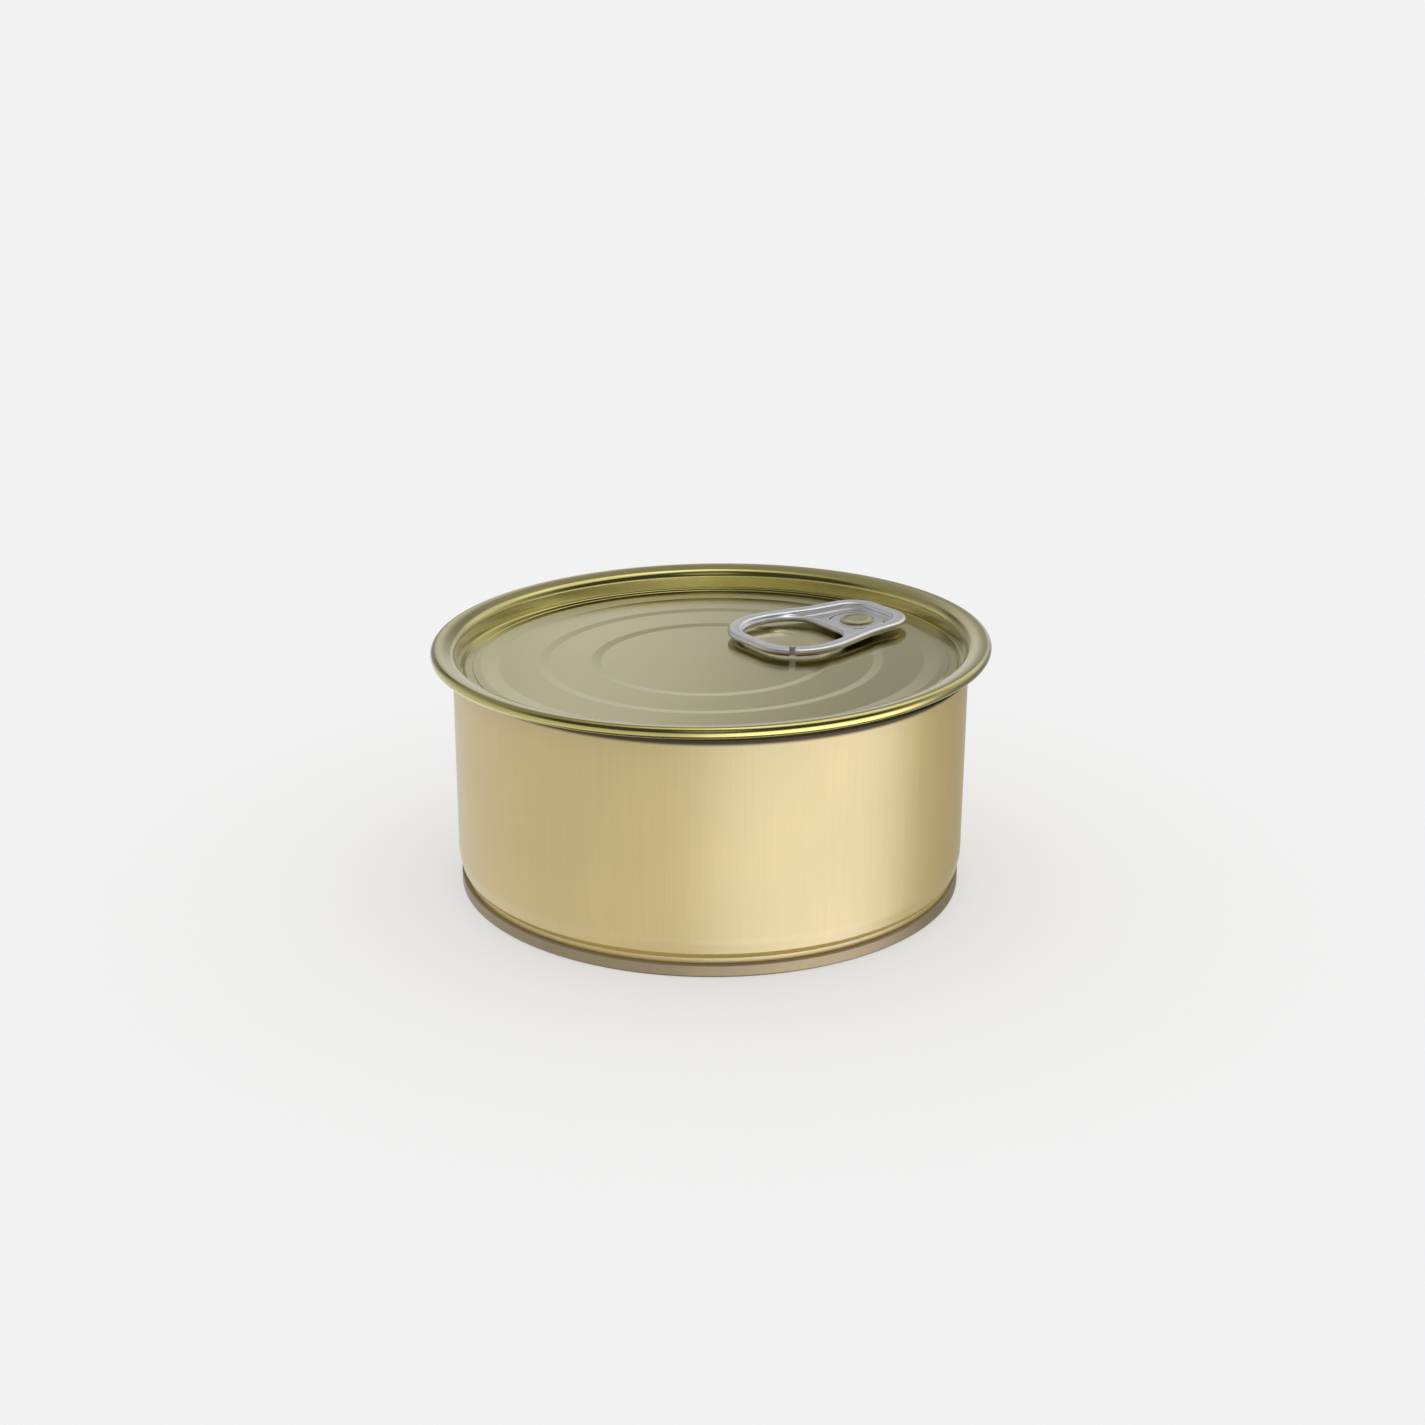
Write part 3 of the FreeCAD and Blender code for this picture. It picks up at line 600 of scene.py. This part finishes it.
class Nodes:
    """A node tree, with short calls to add and join its nodes."""

    def __init__(self, tree):
        self.tree = tree
        tree.nodes.clear()

    def add(self, kind, sockets=None, **properties):
        node = self.tree.nodes.new(kind)
        for name, value in properties.items():
            setattr(node, name, value)
        for socket, value in (sockets or {}).items():
            if isinstance(value, bpy.types.NodeSocket):
                self.tree.links.new(value, node.inputs[socket])
            else:
                node.inputs[socket].default_value = value
        return node

    def math(self, operation, *values):
        return self.add("ShaderNodeMath", dict(enumerate(values)), operation=operation).outputs[0]

    def noise(self, vector, scale, detail=2.0, roughness=0.5):
        sockets = {"Vector": vector, "Scale": scale, "Detail": detail, "Roughness": roughness}
        return self.add("ShaderNodeTexNoise", sockets).outputs["Fac"]

    def ramp(self, value, low, high, out_low, out_high):
        sockets = {0: value, 1: low, 2: high, 3: out_low, 4: out_high}
        node = self.add("ShaderNodeMapRange", sockets, interpolation_type="SMOOTHSTEP")
        return node.outputs[0]

    def times(self, vector, scale):
        sockets = {0: vector, 1: scale}
        return self.add("ShaderNodeVectorMath", sockets, operation="MULTIPLY").outputs[0]

    def mix(self, factor, a, b, kind="RGBA", **properties):
        sockets = {"Factor": factor, "A": a, "B": b}
        node = self.add("ShaderNodeMix", sockets, data_type=kind, **properties)
        return node.outputs["Result"]

    def grey(self, level):
        sockets = {0: level, 1: level, 2: level}
        return self.add("ShaderNodeCombineColor", sockets).outputs[0]

    def bump(self, height, distance, **sockets):
        sockets = {"Strength": 1.0, "Distance": distance, "Height": height, **sockets}
        return self.add("ShaderNodeBump", sockets).outputs[0]


def metal(name, base, shade, roughness, rough_spread, grain, grain_scale, swell,
          coat=0.0, coat_roughness=0.3, coat_ior=1.5, metallic=1.0, painted_shade_above=None):
    """A lacquered or bare sheet metal: a toned base, cloudy gloss, drawn grain and soft waves,
    and, where asked, a painted shade band at its top.
    """
    material = bpy.data.materials.new(name)
    material.use_nodes = True
    n = Nodes(material.node_tree)
    place = n.add("ShaderNodeTexCoord").outputs["Object"]
    clouds = n.noise(place, CLOUD_SCALE, 3.0)
    fine = n.noise(n.times(place, grain_scale), 1.0, 3.0, 0.6)
    tone = n.mix(n.ramp(clouds, 0.3, 0.7, 0.0, 1.0), base, shade)
    streak = n.grey(n.ramp(fine, 0.3, 0.7, 1 - STREAK, 1 + STREAK))
    tone = n.mix(1.0, tone, streak, blend_type="MULTIPLY")
    # painted shade: above the given height the tone darkens towards a near-black brown and the
    # coat fades with it, standing in for the shadow under the lid's flange
    if painted_shade_above:
        height = n.add("ShaderNodeSeparateXYZ", {0: place}).outputs["Z"]
        top = (painted_shade_above + PAINTED_SHADE_RISE) * MM
        dark = n.ramp(height, painted_shade_above * MM, top, 0.0, PAINTED_SHADE_DEPTH)
        tone = n.mix(dark, tone, PAINTED_SHADE_COLOUR)
        coat = n.math("MULTIPLY", coat, n.math("SUBTRACT", 1.0, dark))
    gloss = n.math("ADD", roughness - rough_spread / 2, n.math("MULTIPLY", fine, rough_spread))
    waves = n.bump(n.noise(place, WAVE_SCALE, 1.0), swell * MM)
    shader = n.add("ShaderNodeBsdfPrincipled", {
        "Base Color": tone,
        "Metallic": metallic,
        "Roughness": gloss,
        "Normal": n.bump(fine, grain * MM, Normal=waves),
        "Coat Weight": coat,
        "Coat Roughness": coat_roughness,
        "Coat IOR": coat_ior,
    })
    n.add("ShaderNodeOutputMaterial", {"Surface": shader.outputs[0]})
    return material


def body_lacquer():
    """Satin gold with an upright drawn grain, and a painted shade at its top, under the lid's
    flange.
    """
    return metal(
        "body_lacquer", base=(0.57, 0.41, 0.10, 1), shade=(0.505, 0.375, 0.09, 1),
        roughness=0.55, rough_spread=0.08, grain=0.003, grain_scale=(2500, 2500, 40),
        swell=0.03, coat=1.0, coat_roughness=0.34, coat_ior=2.2, metallic=0.22,
        # the painted shade rises from here, just under the lid's flange
        painted_shade_above=FLANGE_HEIGHT - 1.85,
    )


def lid_lacquer():
    """Smooth olive gold under a clear coat."""
    return metal(
        "lid_lacquer", base=(0.52, 0.455, 0.14, 1), shade=(0.49, 0.43, 0.13, 1),
        roughness=0.17, rough_spread=0.05, grain=0.001, grain_scale=(2200, 2200, 2200),
        swell=0.006, coat=1.0, coat_roughness=0.12,
    )


def end_lacquer():
    """Matt taupe."""
    return metal(
        "end_lacquer", base=(0.31, 0.245, 0.15, 1), shade=(0.28, 0.22, 0.14, 1),
        roughness=0.45, rough_spread=0.05, grain=0.002, grain_scale=(500, 500, 500),
        swell=0.01, metallic=0.6,
    )


def tab_metal():
    """Bare silvery aluminium."""
    return metal(
        "tab_metal", base=(0.80, 0.79, 0.80, 1), shade=(0.76, 0.75, 0.76, 1),
        roughness=0.36, rough_spread=0.08, grain=0.003, grain_scale=(500, 500, 500),
        swell=0.01,
    )


def dress(piece, node, material):
    """Give a piece its material, and let it stand for its node on the can's one body."""
    piece.data.materials.append(material)
    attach(piece, "root")
    if node:
        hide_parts(node)


# ---- the studio ----

FLOOR_REACH = 60.0               # metres
FLOOR_GREY = 0.5                 # with its own glow, the floor reads as the plain background
FLOOR_GLOW = 0.41
BACKDROP = 0.887                 # the plain background's level
ROOM_LIGHT = 0.97                # what matt surfaces are lit with

# what metal mirrors: a ramp has the direction's upward share, low and high, and a level at each
ROOM = (0.12, 0.6, 0.70, 0.34)           # bright at the horizon, darker towards the ceiling
ROOM_LOW = (-0.12, 0.1, 0.14, 0.0)       # a little brighter below it
ROOM_TOP = (0.8, 0.98, 0.0, 0.3)         # and straight overhead
# the dark room behind the camera: full half width, faded half width, strength, and its ramp
DARK_FRONT = (50, 110, -0.5)
DARK_FRONT_RAMP = (0.1, 0.35, 0.0, 1.0)
# soft fields: azimuth, elevation, full half width, faded half width, strength
FIELDS = (
    (120, 69, 14, 30, 0.8),      # a softbox high behind, to the right
    (140, 38, 8, 26, 0.6),       # and its lower edge
    (0, 47, 5, 18, 0.65),        # a strip light above the camera
    (180, 80, 6, 19, 0.5),       # its spill on the ceiling
    (-171, 20, 3, 13, 0.2),      # the backdrop's lit left side
    (172, 20, 3, 13, -0.2),      # and its darker right side
    (-155, 12, 10, 23, -0.36),   # where the room behind is dark
)
# the table's bright and dark sides: azimuth, full half width, faded half width, strength
TABLE_FIELDS = ((46, 18, 64, 1.45), (125, 14, 45, -0.55))
TABLE_RAMP = (-0.05, 0.25, 1.0, 0.0)
DARKEST = 0.05
STEEP_DOWN = (-0.62, -0.4, 1.25, 1.0)    # the table close by is brighter
STRAIGHT_DOWN = (-0.93, -0.7, 0.08, 1.0)  # and dark under the can

CAMERA_DISTANCE = 0.420512       # metres, from the aim height on the can's axis
CAMERA_ELEVATION = math.radians(20.391)
CAMERA_PITCH = math.radians(19.212)
CAMERA_YAW = math.radians(-0.06)
CAMERA_ROLL = math.radians(0.276)
CAMERA_AIM_HEIGHT = 0.024


def make_floor():
    """A wide pale floor: its camera colour is the plain background, and it keeps the shadow."""
    mesh = bpy.data.meshes.new("floor")
    sides = ((-1, -1), (1, -1), (1, 1), (-1, 1))
    mesh.from_pydata([(x * FLOOR_REACH, y * FLOOR_REACH, 0) for x, y in sides], [], [(0, 1, 2, 3)])
    floor = bpy.data.objects.new("floor", mesh)
    bpy.context.scene.collection.objects.link(floor)
    material = bpy.data.materials.new("floor_paper")
    material.use_nodes = True
    n = Nodes(material.node_tree)
    shader = n.add("ShaderNodeBsdfPrincipled", {
        "Base Color": (FLOOR_GREY, FLOOR_GREY, FLOOR_GREY, 1),
        "Roughness": 0.9,
        "Specular IOR Level": 0.0,
        "Emission Color": (1, 1, 1, 1),
        "Emission Strength": FLOOR_GLOW,
    })
    n.add("ShaderNodeOutputMaterial", {"Surface": shader.outputs[0]})
    mesh.materials.append(material)
    floor.visible_glossy = False          # metal mirrors the studio's lower half instead


def heading(azimuth, elevation):
    """A unit vector; azimuth 0 is towards the camera's side, and grows towards +X."""
    a, e = math.radians(azimuth), math.radians(elevation)
    return Vector((math.sin(a) * math.cos(e), -math.cos(a) * math.cos(e), math.sin(e)))


def near(n, direction, centre, full, faded, strength):
    """A soft round field: strength within full degrees of its centre, nothing past faded."""
    sockets = {0: direction, 1: tuple(centre)}
    dot = n.add("ShaderNodeVectorMath", sockets, operation="DOT_PRODUCT").outputs["Value"]
    return n.ramp(dot, math.cos(math.radians(faded)), math.cos(math.radians(full)), 0.0, strength)


def studio_picture(n):
    """The level that metal mirrors from each direction."""
    way = n.add("ShaderNodeTexCoord").outputs["Generated"]
    up = n.add("ShaderNodeSeparateXYZ", {0: way}).outputs["Z"]
    level = n.add("ShaderNodeVectorMath", {0: n.times(way, (1, 1, 0))}, operation="NORMALIZE")
    flat = level.outputs[0]

    light = n.ramp(up, *ROOM)
    for band in (ROOM_LOW, ROOM_TOP):
        light = n.math("ADD", light, n.ramp(up, *band))
    front = near(n, flat, heading(0, 0), *DARK_FRONT)
    light = n.math("ADD", light, n.math("MULTIPLY", front, n.ramp(up, *DARK_FRONT_RAMP)))
    for azimuth, elevation, *soft in FIELDS:
        light = n.math("ADD", light, near(n, way, heading(azimuth, elevation), *soft))
    low = n.ramp(up, *TABLE_RAMP)
    for azimuth, *soft in TABLE_FIELDS:
        sector = near(n, flat, heading(azimuth, 0), *soft)
        light = n.math("ADD", light, n.math("MULTIPLY", sector, low))
    light = n.math("MAXIMUM", light, DARKEST)
    for band in (STEEP_DOWN, STRAIGHT_DOWN):
        light = n.math("MULTIPLY", light, n.ramp(up, *band))
    return light


def make_world():
    """A pale studio for metal to mirror, over a plain level of light for all else."""
    world = bpy.data.worlds.new("studio")
    bpy.context.scene.world = world
    world.use_nodes = True
    n = Nodes(world.node_tree)
    path = n.add("ShaderNodeLightPath").outputs
    mirrored = n.math("MAXIMUM", path["Is Glossy Ray"], path["Is Transmission Ray"])
    lit = n.mix(mirrored, ROOM_LIGHT, studio_picture(n), kind="FLOAT")
    shown = n.mix(path["Is Camera Ray"], lit, BACKDROP, kind="FLOAT")
    sky = n.add("ShaderNodeBackground", {"Color": (1, 1, 1, 1), "Strength": shown})
    n.add("ShaderNodeOutputWorld", {"Surface": sky.outputs[0]})


def make_camera():
    """The camera stands in front, looks down on the can and is a hair off level."""
    data = bpy.data.cameras.new("camera")
    data.lens = 53.95
    data.sensor_width = 36.0
    data.clip_end = 200.0
    camera = bpy.data.objects.new("camera", data)
    back = CAMERA_DISTANCE * math.cos(CAMERA_ELEVATION)
    height = CAMERA_AIM_HEIGHT + CAMERA_DISTANCE * math.sin(CAMERA_ELEVATION)
    camera.matrix_world = (
        Matrix.Translation((0, -back, height))
        @ Matrix.Rotation(CAMERA_YAW, 4, "Z")
        @ Matrix.Rotation(math.pi / 2 - CAMERA_PITCH, 4, "X")
        @ Matrix.Rotation(CAMERA_ROLL, 4, "Z")
    )
    bpy.context.scene.collection.objects.link(camera)
    bpy.context.scene.camera = camera


def main():
    bpy.context.scene.view_settings.view_transform = "Standard"
    make_camera()
    make_world()
    make_floor()
    wall = body_lacquer()
    lid = lid_lacquer()
    end = end_lacquer()
    tab = tab_metal()
    dress(make_can_body(), "can_body", wall)
    dress(make_bottom_end(), "bottom_end", end)
    dress(make_lid(), "lid", lid)
    dress(make_rivet(), None, lid)
    dress(make_pull_tab(), "pull_tab", tab)


main()
